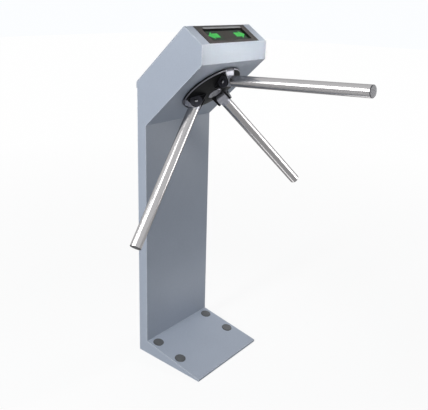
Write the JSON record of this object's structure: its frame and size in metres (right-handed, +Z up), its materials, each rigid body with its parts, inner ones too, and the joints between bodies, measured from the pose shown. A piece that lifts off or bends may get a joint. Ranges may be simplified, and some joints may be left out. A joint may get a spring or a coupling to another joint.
{
  "type": "tripod turnstile",
  "caption": "Waist-high tripod turnstile: a slim sheet-metal stand whose slanted head carries a turning hub with folding tubular arms, and arrow lights on top.",
  "frame": {"origin": "on the floor, at the centre of the rectangle of anchor holes", "axes": "+Z up; +X from the post towards the passage that the arms close; +Y across the stand, so that people walk along Y"},
  "size_m": [0.6752, 0.735, 1.05],
  "materials": {
    "powder_coat": "light blue-grey powder coat with a fine texture",
    "zinc_plate": "zinc-plated steel",
    "cap_plastic": "dark grey moulded plastic",
    "lock_steel": "nickel-plated",
    "bezel_plastic": "dark moulded plastic",
    "smoked_window": "smoked acrylic",
    "green_light": "green light guide, lit",
    "circuit_board": "glass-fibre board with green solder mask",
    "black_casting": "gloss black enamel on a casting",
    "arm_steel": "brushed and polished stainless steel",
    "plug_metal": "satin grey",
    "machined_steel": "ground steel, lightly oiled",
    "brass": "machined brass",
    "solenoid_iron": "blackened iron frame with a taped copper coil"
  },
  "bodies": {
    "stand": {"housing": "powder_coat", "floor_plate": "zinc_plate", "bolt_caps": "cap_plastic", "rear_cover": "powder_coat", "display_bezel": "bezel_plastic", "display_window": "smoked_window", "arrow_lenses": "green_light", "indicator_board": "circuit_board", "front_bearing": "machined_steel", "rear_bearing": "machined_steel", "bearing_housing": "zinc_plate", "bearing_screws": "zinc_plate", "chassis_plate": "zinc_plate", "chassis_spacers": "zinc_plate", "chassis_bolts": "zinc_plate", "crank_post": "machined_steel", "spring_post": "machined_steel", "centring_spring": "machined_steel", "rotary_damper": "black_casting", "pawl_posts": "machined_steel", "solenoids": "solenoid_iron", "solenoid_brackets": "zinc_plate", "position_sensors": "brass", "sensor_brackets": "zinc_plate", "control_board": "circuit_board", "board_standoffs": "brass"},
    "cover_lock": {"cover_lock": "lock_steel"},
    "rotor": {"hub": "black_casting", "hub_cap": "black_casting", "hub_bolt": "zinc_plate", "pivot_bolts": "zinc_plate", "pivot_nuts": "zinc_plate", "rotor_shaft": "machined_steel", "retaining_ring": "machined_steel", "signal_cam": "machined_steel", "gear_wheel": "machined_steel", "lock_pins": "machined_steel", "shaft_nut": "zinc_plate"},
    "arm_a": {"arm_a_knuckle": "arm_steel", "arm_a_tube": "arm_steel", "arm_a_plug": "plug_metal"},
    "arm_b": {"arm_b_knuckle": "arm_steel", "arm_b_tube": "arm_steel", "arm_b_plug": "plug_metal"},
    "arm_c": {"arm_c_knuckle": "arm_steel", "arm_c_tube": "arm_steel", "arm_c_plug": "plug_metal"},
    "centring_crank": {"centring_crank": "brass"},
    "damper_pinion": {"damper_pinion": "brass"},
    "left_pawl": {"left_pawl": "zinc_plate"},
    "right_pawl": {"right_pawl": "zinc_plate"},
    "left_plunger": {"left_plunger": "machined_steel"},
    "right_plunger": {"right_plunger": "machined_steel"}
  },
  "joints": [
    {"name": "rotor_turn", "type": "hinge", "parent": "stand", "child": "rotor", "pos_m": [0.04913, 0, 0.87279], "axis": [0.6756, 0, -0.7373], "continuous": true},
    {"name": "arm_a_fold", "type": "hinge", "parent": "rotor", "child": "arm_a", "pos_m": [0.1151, -0.00533, 0.8989], "axis": [0.0591, 0.9968, 0.0542], "range_deg": [0, 93]},
    {"name": "arm_b_fold", "type": "hinge", "parent": "rotor", "child": "arm_b", "pos_m": [0.03839, -0.05474, 0.82861], "axis": [0.6069, -0.5678, 0.5561], "range_deg": [0, 47]},
    {"name": "arm_c_fold", "type": "hinge", "parent": "rotor", "child": "arm_c", "pos_m": [0.0452, 0.06007, 0.83485], "axis": [-0.666, -0.4289, -0.6103], "range_deg": [0, 47]},
    {"name": "centring_crank_turn", "type": "hinge", "parent": "stand", "child": "centring_crank", "pos_m": [0.00015, 0.056, 0.92625], "axis": [0.6756, 0, -0.7373], "continuous": true},
    {"name": "damper_pinion_turn", "type": "hinge", "parent": "stand", "child": "damper_pinion", "pos_m": [0.00015, -0.056, 0.92625], "axis": [0.6756, 0, -0.7373], "continuous": true},
    {"name": "left_pawl_swing", "type": "hinge", "parent": "stand", "child": "left_pawl", "pos_m": [0.04543, 0.06, 0.97452], "axis": [0.6756, 0, -0.7373], "range_deg": [0, 10]},
    {"name": "right_pawl_swing", "type": "hinge", "parent": "stand", "child": "right_pawl", "pos_m": [0.04543, -0.06, 0.97452], "axis": [-0.6756, 0, 0.7373], "range_deg": [0, 10]},
    {"name": "left_plunger_slide", "type": "slide", "parent": "stand", "child": "left_plunger", "axis": [0, -1, 0], "range_m": [0, 0.0039]},
    {"name": "right_plunger_slide", "type": "slide", "parent": "stand", "child": "right_plunger", "axis": [0, 1, 0], "range_m": [0, 0.0039]},
    {"name": "cover_lock_turn", "type": "hinge", "parent": "stand", "child": "cover_lock", "pos_m": [-0.08862, 0, 0.90628], "axis": [-0.6691, 0, 0.7431], "range_deg": [0, 90]}
  ],
  "couplings": [
    {"joint": "centring_crank_turn", "follows": "rotor_turn", "ratio": -3},
    {"joint": "damper_pinion_turn", "follows": "rotor_turn", "ratio": -3},
    {"joint": "left_plunger_slide", "follows": "left_pawl_swing", "m_per_rad": 0.021972},
    {"joint": "right_plunger_slide", "follows": "right_pawl_swing", "m_per_rad": 0.021972}
  ]
}
